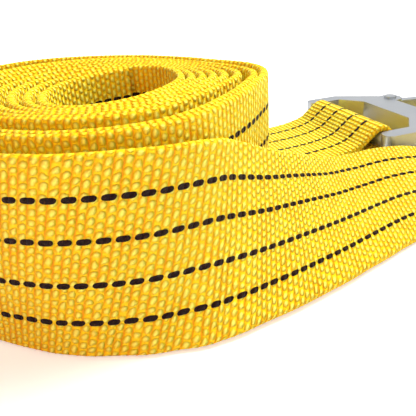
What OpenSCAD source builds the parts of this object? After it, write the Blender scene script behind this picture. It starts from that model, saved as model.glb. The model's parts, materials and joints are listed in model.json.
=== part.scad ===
// Two-piece ratchet tie down for 50 mm webbing, laid out in storage: the long strap is wound
// on edge, and the short strap is folded on itself behind it, with the ratchet opened flat.
// +X runs from the coil towards the handle's tip, +Z is up and the floor is z = 0.
// The origin is on the floor, under the middle of the ratchet frame's base web.

/* [Webbing] */
// Width of the webbing
web_w = 50; // [44:0.5:56]
// Thickness of the webbing
web_t = 2.5; // [1.8:0.1:3]
// Length of a sewn-back tail
tail_len = 34; // [20:1:50]

/* [Coil of the long strap] */
// Outer diameter of the wound coil
coil_d = 106; // [90:1:108]
// Diameter of the hole left in the middle of the coil
coil_hole_d = 39; // [30:1:60]
// Place of the coil's axis along the row
coil_x = -311; // [-340:1:-307]
// Place of the coil's axis across the row
coil_y = -36; // [-45:1:-30]

/* [Hooks] */
// Distance across the row from the ratchet to the long strap's hook
hook_a_y = -66; // [-90:1:-66]
// Place of the eye bar of the long strap's hook
hook_a_x = -90; // [-92:1:-80]
// Place of the eye bar of the short strap's hook
hook_b_x = -189.4; // [-200:0.1:-185]
// Thickness of the forged hook plate
hook_t = 8; // [6.5:0.5:10]
// Diameter of the eye bar that the webbing loops round
eye_bar_d = 6.4; // [5:0.2:8]
// Width of the arms at the sides of the eye
eye_arm_w = 7; // [5:0.5:9]
// Length from the eye bar to the neck's far face
hook_neck_x = 34; // [32:1:38]
// Length from the eye bar to the centre of the hook's bowl
hook_bowl_x = 72; // [70:1:80]
// Diameter of the hook's throat
throat_d = 24; // [20:1:26]
// Width of the steel round the throat
hook_wall = 8; // [6:0.5:9]
// Diameter of the pin that carries the gate
gate_pin_d = 3.5; // [3:0.1:4]
// Width of the gate seen from above
gate_w = 4.4; // [3.6:0.2:5]
// Thickness of the gate
gate_t = 5.2; // [4:0.2:5.4]

/* [Ratchet frame] */
// Sheet thickness of the frame
frame_t = 2.5; // [2:0.1:3.5]
// Clear width between the webbing and each side plate
web_side_gap = 2; // [1:0.5:3]
// Inside radius of the frame's bends
bend_r = 2.5; // [2:0.5:4]
// Height of the spool's axis above the floor
spool_z = 24; // [23:0.5:28]
// Distance from the origin to the spool's axis
spool_x = 36; // [32:1:40]
// Length from the spool's axis to the webbing bolt
bolt_reach = 70; // [66:1:80]
// Height of the webbing bolt above the floor
bolt_z = 12; // [11.5:0.5:13]
// Diameter of the webbing bolt
bolt_d = 8; // [6:0.5:10]
// Thickness of the washers under the bolt's head and nut
washer_t = 1.6; // [1:0.1:2]
// Wall of the sleeve that turns on the bolt
sleeve_wall = 2; // [1.5:0.25:2.5]
// Length of the frame's base web
base_web_len = 44; // [36:1:46]

/* [Spool] */
// Diameter over the two half-round spool bars
spool_d = 18; // [16:0.5:20]
// Width of the slot between the spool bars
slot_w = 4.6; // [4.4:0.1:6]
// Diameter over the teeth of the ratchet wheels
wheel_d = 38; // [36:0.5:38]
// Depth of the ratchet teeth
tooth_depth = 3.8; // [3:0.1:4]
// Number of ratchet teeth
tooth_count = 12; // [10:1:16]
// Thickness of a ratchet wheel
wheel_t = 3; // [2.5:0.1:4]
// Thickness of a spool end clip
clip_t = 1.5; // [1:0.1:2]
// Diameter of a spool end clip
clip_d = 23; // [21:0.5:26]

/* [Handle] */
// Sheet thickness of the handle
handle_t = 2.5; // [2:0.1:3.5]
// Length from the spool's axis to the handle's rounded end
handle_len = 103; // [98:1:130]
// Height of the handle's side plates
handle_h = 22; // [20:1:24]
// Height of the handle's side plates beside the spool
handle_neck_h = 19; // [18:0.5:20]
// Distance from the spool's axis at which the side plates start to widen
handle_neck_len = 36; // [32:1:40]
// Length over which the side plates widen
handle_flare = 10; // [6:1:16]
// Start of the handle's bridge, measured from the spool's axis
bridge_start = 58; // [56:1:64]
// Thickness of the moulded grip
grip_t = 3.5; // [2.5:0.25:5]
// Number of finger ribs on the grip
rib_count = 6; // [3:1:8]
// Diameter of a finger rib
rib_d = 2.4; // [1.6:0.2:3]
// Diameter of the spacer rod behind the drive pawl
spacer_d = 6; // [5:0.5:8]
// Distance from the spool's axis to the spacer rod
spacer_reach = 50; // [48:0.5:52]

/* [Pawls] */
// Thickness of both pawl plates
pawl_t = 3; // [2.5:0.1:3.2]
// Length of a pawl plate towards the spool's axis
pawl_len = 14; // [12:0.5:15]
// Distance from a pawl's edge to the start of its ears
ear_start = 1.6; // [1:0.2:3]
// Length of a pawl's ears, which run in the side plates' slots
ear_len = 10; // [8:0.5:10.5]
// Depth of the recess that clears the webbing on the spool
pawl_recess = 5; // [4:0.5:6]
// Width of the drive pawl's finger tab
tab_w = 28; // [20:1:36]
// Height of the finger tab above the pawl's underside
tab_h = 10; // [8:0.5:11]
// Travel that the finger tab allows the drive pawl
drive_travel = 4.5; // [3.5:0.25:5]
// Travel of the lock pawl away from the teeth
lock_travel = 3; // [2:0.25:3.5]
// Direction of the lock pawl as seen from the spool's axis, in degrees
lock_angle = 205; // [203:1:208]
// Wire diameter of the pawl springs
spring_wire = 1; // [0.7:0.1:1.2]
// Coil diameter of the pawl springs
spring_d = 4.4; // [3.6:0.2:5]

/* [Clearances] */
// Radial clearance of a running shaft
run_clear = 0.06; // [0.02:0.01:0.1]
// Side clearance between parts that pass each other
side_clear = 0.3; // [0.2:0.05:0.5]
// Gap between the webbing and what it lies on or loops round
soft_clear = 0.3; // [0.2:0.05:0.5]

/* [Hidden] */
$fn = 64;

// Layers of the ratchet, counted outwards from its middle plane
frame_in = web_w / 2 + web_side_gap;
frame_out = frame_in + frame_t;
wheel_in = frame_out + side_clear;
wheel_out = wheel_in + wheel_t;
handle_in = wheel_out + side_clear;
handle_out = handle_in + handle_t;
clip_in = handle_out + side_clear;
clip_out = clip_in + clip_t;

// Radii round the spool's axis
wheel_r = wheel_d / 2;
root_r = wheel_r - tooth_depth;
rim_low_r = root_r - 0.4;
release_r = wheel_r + 1;
drive_r = release_r + side_clear + 0.1;
stop_r = release_r + 4.2;
lock_r = wheel_r + side_clear + 0.1;
cam_r = lock_r - side_clear;
handle_hub_r = rim_low_r;
handle_closed_gap = 3;
lock_back_r = lock_r + pawl_len + 2;
lock_slot_len = tooth_depth + ear_start + ear_len + lock_travel + side_clear;
seat_r = lock_back_r + 8.2;

// Loops of webbing
eye_loop_in = eye_bar_d / 2 + soft_clear;
eye_loop_out = eye_loop_in + web_t;
bolt_loop_in = bolt_d / 2 + run_clear + sleeve_wall + soft_clear;
bolt_loop_out = bolt_loop_in + web_t;
hook_a_z = eye_loop_out;
hook_b_z = web_t + soft_clear + eye_loop_out;
bolt_x = spool_x - bolt_reach;
washer_out = frame_out + washer_t;
nut_t = 0.8 * bolt_d;

// The short strap's folded end stands just clear of the coil
fold_x = coil_x + sqrt(pow(coil_d / 2, 2) - pow(abs(coil_y) - web_w / 2, 2)) + soft_clear;
fold_r = web_t + soft_clear / 2;

// Hook, seen from above with the eye bar along its local Y axis
eye_half = web_w / 2 + soft_clear + 1;
hook_half = eye_half + eye_arm_w;
throat_r = throat_d / 2;
bowl_r = throat_r + hook_wall;
gate_pivot = [hook_neck_x + 1, throat_r + 3.8];
nose_x = hook_bowl_x - 11;
gate_tip = [nose_x - 0.5, throat_r - gate_w / 2 - 0.3];
gate_bore_r = gate_pin_d / 2 + 1.05;
gate_spring_room = 3;

// Middle of the webbing along its run, from the coil's axis, with its lean away from upright and
// the skew of its ribs, both in degrees
run_stations = [
    [-23.2, -49.8, 0, 10], [-13.8, -55.1, 2, 12], [-3.6, -58.6, 4, 15], [7.1, -59.7, 6, 20],
    [17.8, -57.5, 12, 27], [28, -53.3, 25, 34], [37.7, -49, 37, 38], [46.7, -45.2, 47, 38],
    [60, -39.5, 59, 37], [73, -34, 69, 34], [87, -29, 75, 29], [100, -26.2, 77, 24],
    [114, -25.4, 80, 16], [130, -26.6, 85, 8], [147, -28.8, 89, 3], [159, -30, 90, 0],
    [168, -30, 90, 0]
];

// ---------- helpers ----------

// Plate made from a profile drawn in X and Z, from y0 outwards on one side
module side_plate(side, y0, t) {
    translate([0, side > 0 ? y0 + t : -y0, 0]) rotate([90, 0, 0]) linear_extrude(t) children();
}

// Solid made from a profile drawn in X and Z, centred across the row
module across(width) {
    rotate([90, 0, 0]) linear_extrude(width, center = true) children();
}

// Pie piece of a circle between two angles less than 180 degrees apart
module sector(r, a0, a1) {
    far = 2 * r;
    intersection() {
        circle(r = r);
        polygon([[0, 0], far * [cos(a0), sin(a0)],
                 far * [cos((a0 + a1) / 2), sin((a0 + a1) / 2)], far * [cos(a1), sin(a1)]]);
    }
}

module ring(outer_r, inner_r) {
    difference() {
        circle(r = outer_r);
        circle(r = inner_r);
    }
}

// Closed tube through a list of rings of points
function tube_faces(rings, sides) = concat(
    [[for (k = [0 : sides - 1]) k]],
    [for (i = [0 : rings - 2], k = [0 : sides - 1])
        [i * sides + k, (i + 1) * sides + k, i * sides + (k + 1) % sides]],
    [for (i = [0 : rings - 2], k = [0 : sides - 1])
        [(i + 1) * sides + k, (i + 1) * sides + (k + 1) % sides, i * sides + (k + 1) % sides]],
    [[for (k = [0 : sides - 1]) rings * sides - 1 - k]]
);

// Coil spring standing on z = 0, with its outer diameter and its wire's diameter
module coil_spring(length, turns, d = spring_d, wire = spring_wire) {
    sides = 6;
    per_turn = 14;
    rings = turns * per_turn + 1;
    coil_r = (d - wire) / 2;
    rise = (length - wire) / (rings - 1);
    points = [for (i = [0 : rings - 1], k = [0 : sides - 1])
        let (a = i * 360 / per_turn, q = k * 360 / sides, r = coil_r + wire / 2 * cos(q))
        [r * cos(a), r * sin(a), wire / 2 + i * rise + wire / 2 * sin(q)]];
    polyhedron(points, tube_faces(rings, sides));
}

// Moves and turns a part drawn round the spool's axis
module at_spool() {
    translate([spool_x, 0, spool_z]) children();
}

// Turns local +X to a direction in the X-Z plane
module towards(angle) {
    rotate([0, -angle, 0]) children();
}

// ---------- webbing ----------

module long_strap_coil() {
    color("gold") translate([coil_x, coil_y, 0]) linear_extrude(web_w)
        ring(coil_d / 2, coil_hole_d / 2);
}

function run_heading(i) = let (
        a = run_stations[max(i - 1, 0)],
        b = run_stations[min(i + 1, len(run_stations) - 1)]
    ) atan2(b.y - a.y, b.x - a.x);

module long_strap_run() {
    points = [for (i = [0 : len(run_stations) - 1])
        let (s = run_stations[i], h = run_heading(i), lean = s[2], skew = s[3],
             along = [cos(h), sin(h), 0], side = [-sin(h), cos(h), 0], up = [0, 0, 1],
             rise = side * sin(lean) + up * cos(lean),
             across_web = (rise * cos(skew) + along * sin(skew)) * web_w / 2,
             through_web = (side * cos(lean) - up * sin(lean)) * web_t / 2,
             middle = [s.x, s.y, web_w / 2 * cos(lean) * cos(skew) + web_t / 2 * sin(lean)])
        each [middle - across_web - through_web, middle - across_web + through_web,
              middle + across_web + through_web, middle + across_web - through_web]];
    color("gold") translate([coil_x, coil_y, 0])
        polyhedron(points, tube_faces(len(run_stations), 4));
}

// Point where a line from q touches a circle of radius r round the origin, on one side
function touch_point(q, r, side) = let (a = atan2(q.y, q.x) + side * acos(r / norm(q)))
    r * [cos(a), sin(a)];

// Points of an arc round c, both ends included
function arc(c, r, a0, a1) = let (steps = 14)
    [for (i = [0 : steps]) let (a = a0 + (a1 - a0) * i / steps) c + r * [cos(a), sin(a)]];

// Outline of a sewn loop seen from its edge: along the strap's underside, round the bar at c,
// back along the top of the sewn tail and down its cut end. z0 is the strap's underside.
function loop_outline(c, inner_r, z0, drop, tail) = let (
        outer_r = inner_r + web_t,
        under = [-drop, z0 - c.y],
        top = [-drop, z0 + 2 * web_t - c.y],
        from = touch_point(under, outer_r, 1),
        to = touch_point(top, outer_r, -1)
    ) concat(
        [c + under], arc(c, outer_r, atan2(from.y, from.x), atan2(to.y, to.x)),
        [c + top, c + top - [tail, 0], c + top - [tail, web_t]]
    );

module long_strap_loop() {
    start = coil_x + run_stations[len(run_stations) - 1].x + soft_clear;
    bar = [hook_a_x, hook_a_z];
    color("gold") translate([0, hook_a_y, 0]) across(web_w) difference() {
        polygon(concat([[start, 0]], loop_outline(bar, eye_loop_in, 0, 16, tail_len),
                       [[start, web_t]]));
        translate(bar) circle(r = eye_loop_in);
    }
}

module short_strap() {
    fold_c = [fold_x + fold_r, fold_r];
    upper_z = web_t + soft_clear;
    webbing_bolt = [bolt_x, bolt_z];
    eye_bar = [hook_b_x, hook_b_z];
    color("gold") across(web_w) difference() {
        polygon(concat(
            loop_outline(webbing_bolt, bolt_loop_in, 0, 25, tail_len),
            [[fold_c.x, web_t], [fold_c.x, upper_z]],
            loop_outline(eye_bar, eye_loop_in, upper_z, 14, 10),
            arc(fold_c, fold_r, 90, 270)
        ));
        translate(webbing_bolt) circle(r = bolt_loop_in);
        translate(eye_bar) circle(r = eye_loop_in);
    }
}

// ---------- hooks ----------

module hook_outline() {
    difference() {
        union() {
            polygon([[0, hook_half], [14, hook_half], [hook_neck_x, bowl_r], [hook_neck_x, -bowl_r],
                     [14, -hook_half], [0, -hook_half]]);
            for (s = [-1, 1]) translate([0, s * (hook_half - eye_arm_w / 2)]) circle(d = eye_arm_w);
            translate([hook_neck_x - 6, -bowl_r])
                square([hook_bowl_x - hook_neck_x + 6, hook_wall]);
            translate([nose_x, throat_r]) square([hook_bowl_x - nose_x, hook_wall]);
            translate([nose_x, throat_r + hook_wall / 2]) circle(d = hook_wall);
            translate([hook_bowl_x, 0]) difference() {
                circle(r = bowl_r);
                translate([-2 * bowl_r, -bowl_r]) square(2 * bowl_r);
            }
            translate(gate_pivot) circle(r = 5.5);
        }
        polygon([[-eye_arm_w, eye_half], [12, eye_half], [20, eye_half - 10], [20, 10 - eye_half],
                 [12, -eye_half], [-eye_arm_w, -eye_half]]);
    }
}

module hook_body() {
    difference() {
        translate([0, 0, -hook_t / 2]) linear_extrude(hook_t) hook_outline();
        translate([hook_bowl_x, 0, -hook_t]) cylinder(r = throat_r, h = 2 * hook_t);
        translate([gate_pivot.x, gate_pivot.y, -gate_t / 2 - side_clear])
            cylinder(r = 6.3, h = gate_t + 2 * side_clear);
        translate([gate_pivot.x, gate_pivot.y, -hook_t]) cylinder(d = gate_pin_d, h = 2 * hook_t);
    }
    rotate([90, 0, 0]) cylinder(d = eye_bar_d, h = 2 * hook_half - eye_arm_w, center = true);
}

module hook_gate() {
    reach = gate_tip - gate_pivot;
    translate([gate_pivot.x, gate_pivot.y, -gate_t / 2]) rotate(atan2(reach.y, reach.x))
        difference() {
            linear_extrude(gate_t) union() {
                circle(r = 3.6);
                translate([0, -gate_w / 2]) square([norm(reach), gate_w]);
                translate([norm(reach), 0]) circle(d = gate_w);
            }
            translate([0, 0, -1]) cylinder(r = gate_pin_d / 2 + run_clear, h = gate_t + 2);
            translate([0, 0, gate_t - gate_spring_room]) cylinder(r = gate_bore_r, h = gate_t);
        }
}

// Torsion spring wound round the gate's pin, inside the gate's hub
module hook_gate_spring() {
    color("gray") translate([gate_pivot.x, gate_pivot.y, gate_t / 2 - gate_spring_room])
        coil_spring(gate_spring_room - 0.1, 4, 2 * gate_bore_r - 0.5, 0.5);
}

module hook_pin() {
    head_t = 1;
    translate([gate_pivot.x, gate_pivot.y, -hook_t / 2 - head_t])
        cylinder(d = gate_pin_d, h = hook_t + 2 * head_t);
    for (z = [-hook_t / 2 - head_t, hook_t / 2]) translate([gate_pivot.x, gate_pivot.y, z])
        cylinder(d = gate_pin_d + 2.4, h = head_t);
}

module at_hook_a() { translate([hook_a_x, hook_a_y, hook_a_z]) children(); }
module at_hook_b() { translate([hook_b_x, 0, hook_b_z]) children(); }

module hook_a_body() { color("lightsteelblue") at_hook_a() hook_body(); }
module hook_a_gate() { color("silver") at_hook_a() hook_gate(); }
module hook_a_pin() { color("gray") at_hook_a() hook_pin(); }
module hook_a_gate_spring() { at_hook_a() hook_gate_spring(); }
module hook_b_body() { color("lightsteelblue") at_hook_b() hook_body(); }
module hook_b_gate() { color("silver") at_hook_b() hook_gate(); }
module hook_b_pin() { color("gray") at_hook_b() hook_pin(); }
module hook_b_gate_spring() { at_hook_b() hook_gate_spring(); }

// ---------- ratchet frame and webbing bolt ----------

module frame_side_outline() {
    bolt_end_r = bolt_z;
    difference() {
        union() {
            circle(r = rim_low_r);
            sector(release_r, -10, 12);
            polygon([[0, 0], release_r * [cos(12), sin(12)], rim_low_r * [cos(30), sin(30)]]);
            sector(stop_r, -55, -5);
            polygon([[-bolt_reach, -spool_z], [rim_low_r, -spool_z],
                     stop_r * [cos(-38), sin(-38)], [0, 0], [-release_r, handle_closed_gap],
                     [-bolt_reach, bolt_z + bolt_end_r - spool_z]]);
            translate([-bolt_reach, bolt_z - spool_z]) circle(r = bolt_end_r);
        }
        circle(r = spool_d / 2 + run_clear);
        translate([-bolt_reach, bolt_z - spool_z]) circle(d = bolt_d);
        rotate(lock_angle) translate([lock_r - tooth_depth, -pawl_t / 2 - side_clear])
            square([lock_slot_len, pawl_t + 2 * side_clear]);
        translate([-spool_x - base_web_len / 2, -spool_z - 1])
            square([base_web_len, frame_t + bend_r + 1]);
    }
}

// Base web with its two bends, seen along the row
module base_web_outline() {
    bend_out = frame_t + bend_r;
    translate([bend_out - frame_out, 0]) square([2 * (frame_out - bend_out), frame_t]);
    for (s = [-1, 1]) intersection() {
        translate([s * (frame_out - bend_out), bend_out]) ring(bend_out, bend_r);
        translate([s > 0 ? frame_out - bend_out : -frame_out, 0]) square(bend_out);
    }
}

module ratchet_frame() {
    color("lightsteelblue") {
        for (s = [-1, 1]) at_spool() side_plate(s, frame_in, frame_t) frame_side_outline();
        translate([-base_web_len / 2, 0, 0]) rotate([90, 0, 90])
            linear_extrude(base_web_len) base_web_outline();
        at_spool() towards(lock_angle) translate([seat_r, -14, -4]) cube([2.2, 28, 8]);
    }
}

module bolt() {
    head_t = 5.3;
    color("gray") translate([bolt_x, 0, bolt_z]) rotate([90, 0, 0]) {
        cylinder(d = bolt_d, h = 2 * washer_out + nut_t, center = true);
        translate([0, 0, washer_out]) cylinder(d = 1.85 * bolt_d, h = head_t, $fn = 6);
    }
}

module bolt_nut() {
    color("silver") translate([bolt_x, washer_out + nut_t, bolt_z]) rotate([90, 0, 0])
        difference() {
            cylinder(d = 1.85 * bolt_d, h = nut_t, $fn = 6);
            translate([0, 0, -1]) cylinder(d = bolt_d, h = nut_t + 2);
        }
}

module bolt_washer(side) {
    color("lightgray") translate([bolt_x, 0, bolt_z]) side_plate(side, frame_out, washer_t)
        ring(bolt_d, bolt_d / 2);
}
module bolt_washer_left() { bolt_washer(1); }
module bolt_washer_right() { bolt_washer(-1); }

module bolt_sleeve() {
    inner_r = bolt_d / 2 + run_clear;
    color("silver") translate([bolt_x, 0, bolt_z]) across(2 * (frame_in - side_clear))
        ring(inner_r + sleeve_wall, inner_r);
}

// ---------- spool ----------

// Section of one spool bar: a circle with the slot and the other bar cut away
module half_round(side) {
    intersection() {
        circle(d = spool_d);
        translate([-spool_d, side > 0 ? slot_w / 2 : -spool_d - slot_w / 2])
            square([2 * spool_d, spool_d]);
    }
}

module spool_bar(side) { at_spool() across(2 * clip_out) half_round(side); }
module spool_bar_upper() { color("silver") spool_bar(1); }
module spool_bar_lower() { color("silver") spool_bar(-1); }

module wheel_outline() {
    pitch = 360 / tooth_count;
    difference() {
        polygon([for (i = [0 : tooth_count - 1]) each [
            wheel_r * [cos(i * pitch + 6), sin(i * pitch + 6)],
            wheel_r * [cos(i * pitch + 10), sin(i * pitch + 10)],
            root_r * [cos(i * pitch + 12), sin(i * pitch + 12)]]]);
        for (s = [-1, 1]) half_round(s);
    }
}

module ratchet_wheel(side) { at_spool() side_plate(side, wheel_in, wheel_t) wheel_outline(); }
module ratchet_wheel_left() { color("dimgray") ratchet_wheel(1); }
module ratchet_wheel_right() { color("dimgray") ratchet_wheel(-1); }

module spool_clip(side) {
    at_spool() side_plate(side, clip_in, clip_t) difference() {
        circle(d = clip_d);
        for (s = [-1, 1]) half_round(s);
    }
}
module spool_clip_left() { color("silver") spool_clip(1); }
module spool_clip_right() { color("silver") spool_clip(-1); }

// ---------- handle ----------

module handle_side_outline() {
    half = handle_h / 2;
    neck = handle_neck_h / 2;
    flare_end = handle_neck_len + handle_flare;
    slot_from = drive_r + ear_start - side_clear - tooth_depth;
    slot_to = drive_r + ear_start + ear_len + side_clear + drive_travel;
    difference() {
        union() {
            circle(r = handle_hub_r);
            sector(cam_r, lock_angle - 17, lock_angle + 17);
            polygon([[0, -neck], [handle_neck_len, -neck], [flare_end, -half],
                     [handle_len - half, -half], [handle_len - half, half],
                     [flare_end, half], [handle_neck_len, neck], [0, neck]]);
            translate([handle_len - half, 0]) circle(r = half);
        }
        circle(r = spool_d / 2 + run_clear);
        translate([slot_from, -pawl_t / 2 - side_clear])
            square([slot_to - slot_from, pawl_t + 2 * side_clear]);
        translate([spacer_reach, 0]) circle(d = spacer_d);
    }
}

// Bridge along the lower side and round the end of the handle, as a layer of thickness t
module bridge_outline(start, outer_r, t, end_angle) {
    end_x = handle_len - handle_h / 2;
    translate([start, -outer_r]) square([end_x - start, t]);
    translate([end_x, 0]) intersection() {
        ring(outer_r, outer_r - t);
        sector(outer_r + 1, -90, end_angle);
    }
}

module handle() {
    color("lightsteelblue") at_spool() {
        for (s = [-1, 1]) side_plate(s, handle_in, handle_t) handle_side_outline();
        across(2 * handle_in) bridge_outline(bridge_start, handle_h / 2, handle_t, 50);
    }
}

module handle_grip() {
    outer_r = handle_h / 2 + grip_t;
    grip_start = bridge_start + grip_t;
    rib_pitch = (handle_len - handle_h / 2 - grip_start) / rib_count;
    color("dimgray") at_spool() {
        across(2 * handle_out) bridge_outline(grip_start, outer_r, grip_t, 60);
        for (i = [0 : rib_count - 1])
            translate([grip_start + (i + 0.5) * rib_pitch, 0, -outer_r]) rotate([90, 0, 0])
                cylinder(d = rib_d, h = 2 * (handle_out - rib_d), center = true);
    }
}

module handle_spacer() {
    head_t = 1.8;
    color("gray") at_spool() translate([spacer_reach, 0, 0]) rotate([90, 0, 0]) {
        cylinder(d = spacer_d, h = 2 * (handle_out + head_t), center = true);
        for (s = [-1, 1]) translate([0, 0, s * (handle_out + head_t / 2)])
            cylinder(d = spacer_d + 4, h = head_t, center = true);
    }
}

// ---------- pawls and their springs ----------

module drive_pawl() {
    tab_x = drive_r + pawl_len + pawl_t + 0.6;
    color("silver") at_spool() {
        translate([drive_r, 0, -pawl_t / 2]) linear_extrude(pawl_t) difference() {
            union() {
                translate([0, side_clear - handle_in])
                    square([pawl_len, 2 * (handle_in - side_clear)]);
                translate([ear_start, -clip_out]) square([ear_len, 2 * clip_out]);
            }
            translate([-1, 1 - frame_in]) square([pawl_recess + 1, 2 * frame_in - 2]);
        }
        translate([drive_r + pawl_len - 0.1, -tab_w / 2, -pawl_t / 2])
            cube([tab_x - drive_r - pawl_len + 0.1, tab_w, pawl_t]);
        translate([tab_x - 2, -tab_w / 2, -pawl_t / 2]) cube([2, tab_w, tab_h]);
    }
}

module drive_spring(side) {
    start = drive_r + pawl_len + 0.15;
    at_spool() translate([start, side * 22, 0]) rotate([0, 90, 0])
        coil_spring(spacer_reach - spacer_d / 2 - 0.15 - start, 4);
}
module drive_spring_left() { color("gray") drive_spring(1); }
module drive_spring_right() { color("gray") drive_spring(-1); }

module lock_pawl() {
    color("silver") at_spool() towards(lock_angle) translate([lock_r, 0, -pawl_t / 2])
        linear_extrude(pawl_t) difference() {
            union() {
                translate([0, -clip_in]) square([ear_start + ear_len, 2 * clip_in]);
                translate([pawl_recess, 2 * side_clear - frame_in])
                    square([lock_back_r - lock_r - pawl_recess, 2 * (frame_in - 2 * side_clear)]);
            }
            translate([-1, 2 - frame_in]) square([pawl_recess + 1, 2 * frame_in - 4]);
        }
}

module lock_spring(side) {
    start = lock_back_r + 0.15;
    at_spool() towards(lock_angle) translate([start, side * 9, 0]) rotate([0, 90, 0])
        coil_spring(seat_r - 0.15 - start, 3);
}
module lock_spring_left() { color("gray") lock_spring(1); }
module lock_spring_right() { color("gray") lock_spring(-1); }

long_strap_coil();
long_strap_run();
long_strap_loop();
hook_a_body();
hook_a_gate();
hook_a_pin();
hook_a_gate_spring();
short_strap();
hook_b_body();
hook_b_gate();
hook_b_pin();
hook_b_gate_spring();
ratchet_frame();
bolt();
bolt_sleeve();
bolt_nut();
bolt_washer_left();
bolt_washer_right();
spool_bar_upper();
spool_bar_lower();
ratchet_wheel_left();
ratchet_wheel_right();
spool_clip_left();
spool_clip_right();
handle();
handle_grip();
handle_spacer();
drive_pawl();
drive_spring_left();
drive_spring_right();
lock_pawl();
lock_spring_left();
lock_spring_right();
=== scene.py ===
"""Ratchet tie down in storage: woven webbing, flat snap hooks and an opened ratchet.

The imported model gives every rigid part. This script weaves the webbing, sews it, finishes the
metal and the rubber, and sets up a plain studio.
"""

import json
import logging
import math
from dataclasses import dataclass
from enum import Enum
from typing import Callable, Sequence

import bmesh
import bpy
from mathutils import Matrix, Vector


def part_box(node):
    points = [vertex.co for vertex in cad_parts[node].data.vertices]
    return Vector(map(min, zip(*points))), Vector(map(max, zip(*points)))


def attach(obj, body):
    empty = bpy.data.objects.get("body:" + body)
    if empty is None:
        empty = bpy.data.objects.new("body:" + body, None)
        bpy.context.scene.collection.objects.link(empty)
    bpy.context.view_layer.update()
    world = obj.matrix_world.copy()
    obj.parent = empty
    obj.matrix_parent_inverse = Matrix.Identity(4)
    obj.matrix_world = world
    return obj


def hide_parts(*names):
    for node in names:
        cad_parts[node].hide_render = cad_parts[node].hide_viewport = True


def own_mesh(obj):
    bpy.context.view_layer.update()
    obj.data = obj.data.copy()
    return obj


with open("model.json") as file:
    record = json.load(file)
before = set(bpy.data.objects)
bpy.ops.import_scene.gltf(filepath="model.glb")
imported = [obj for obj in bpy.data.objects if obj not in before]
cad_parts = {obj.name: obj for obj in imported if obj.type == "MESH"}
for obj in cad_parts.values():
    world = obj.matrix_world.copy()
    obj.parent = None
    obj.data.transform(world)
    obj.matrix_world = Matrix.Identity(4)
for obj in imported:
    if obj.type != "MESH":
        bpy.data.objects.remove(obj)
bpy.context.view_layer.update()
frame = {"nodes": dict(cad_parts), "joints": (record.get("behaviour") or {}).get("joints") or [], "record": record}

logging.basicConfig(level=logging.INFO, format="%(message)s")
LOG = logging.getLogger("tie_down")

MM = 0.001
CLEARANCE = 0.05 * MM
# Degrees between the points of an arc
ARC_STEP = 8.0
# Middle of each hook's eye bar: in from its strap's outer end, and above the floor
BAR_A_IN, BAR_A_HEIGHT = 6.0 * MM, 6.0 * MM
BAR_B_IN, BAR_B_HEIGHT = 69.45 * MM, 8.8 * MM
# Middle of the thread above two layers of webbing
SEAM_LIFT = 0.3 * MM

Socket, Material = bpy.types.NodeSocket, bpy.types.Material
Pair, Triple, Row = tuple[float, float], tuple[float, float, float], tuple[float, ...]
Colour = tuple[float, float, float, float]


class Body(str, Enum):
    """Rigid bodies that the pieces ride on."""

    BASE = "base"
    HANDLE = "handle"


class Slot(str, Enum):
    """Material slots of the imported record."""

    WEBBING = "webbing"
    ZINC = "zinc_plate"
    HARDENED = "hardened_steel"
    SPRING = "spring_steel"
    RUBBER = "grip_rubber"


def node_centre(node: str) -> Vector:
    """Return the middle of a CAD node's box at rest, in metres."""
    low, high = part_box(node)
    return (Vector(low) + Vector(high)) / 2


def joint_place(name: str) -> Vector:
    """Return a point on a joint's axis, in metres."""
    joint = next(j for j in frame["joints"] if j["name"] == name)
    return Vector(joint["pos_m"])


def add_object(name: str, data: bpy.types.ID) -> bpy.types.Object:
    """Put a mesh, lamp or camera into the scene, at the origin.

    Args:
        name: Name of the object.
        data: What it shows.

    Returns:
        The new object.
    """
    obj = bpy.data.objects.new(name, data)
    bpy.context.scene.collection.objects.link(obj)
    return obj


def clamp(value: float) -> float:
    """Return the value, kept between 0 and 1."""
    return min(max(value, 0.0), 1.0)


def smooth(t: float) -> float:
    """Return 0 to 1 for t from 0 to 1, with a level start and end."""
    return t * t * (3 - 2 * t)


def spline(a: float, b: float, c: float, d: float, t: float) -> float:
    """Return the Catmull-Rom value between b and c, at a share t of the way."""
    return 0.5 * (2 * b + (c - a) * t + (2 * a - 5 * b + 4 * c - d) * t ** 2
                  + (3 * b - a - 3 * c + d) * t ** 3)


# ---- shader building


class NodeGraph:
    """Adds and links the nodes of one node tree."""

    def __init__(self, tree: bpy.types.NodeTree) -> None:
        """Take over a node tree that is still empty."""
        self.tree = tree

    def add(self, kind: str, inputs: dict | None = None, **settings: object) -> bpy.types.Node:
        """Add a node.

        Args:
            kind: Blender's name of the node type.
            inputs: Values or sockets by the name or the number of the node's input.
            **settings: Attributes set on the node.

        Returns:
            The new node.
        """
        node = self.tree.nodes.new(kind)
        for key, value in settings.items():
            setattr(node, key, value)
        for key, value in (inputs or {}).items():
            self.feed(node.inputs[key], value)
        return node

    def feed(self, socket: Socket, value: object) -> None:
        """Link an output to a socket, or set the socket's own value.

        Args:
            socket: The input socket.
            value: An output socket, or a plain value.
        """
        if isinstance(value, Socket):
            self.tree.links.new(value, socket)
        else:
            socket.default_value = value


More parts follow.
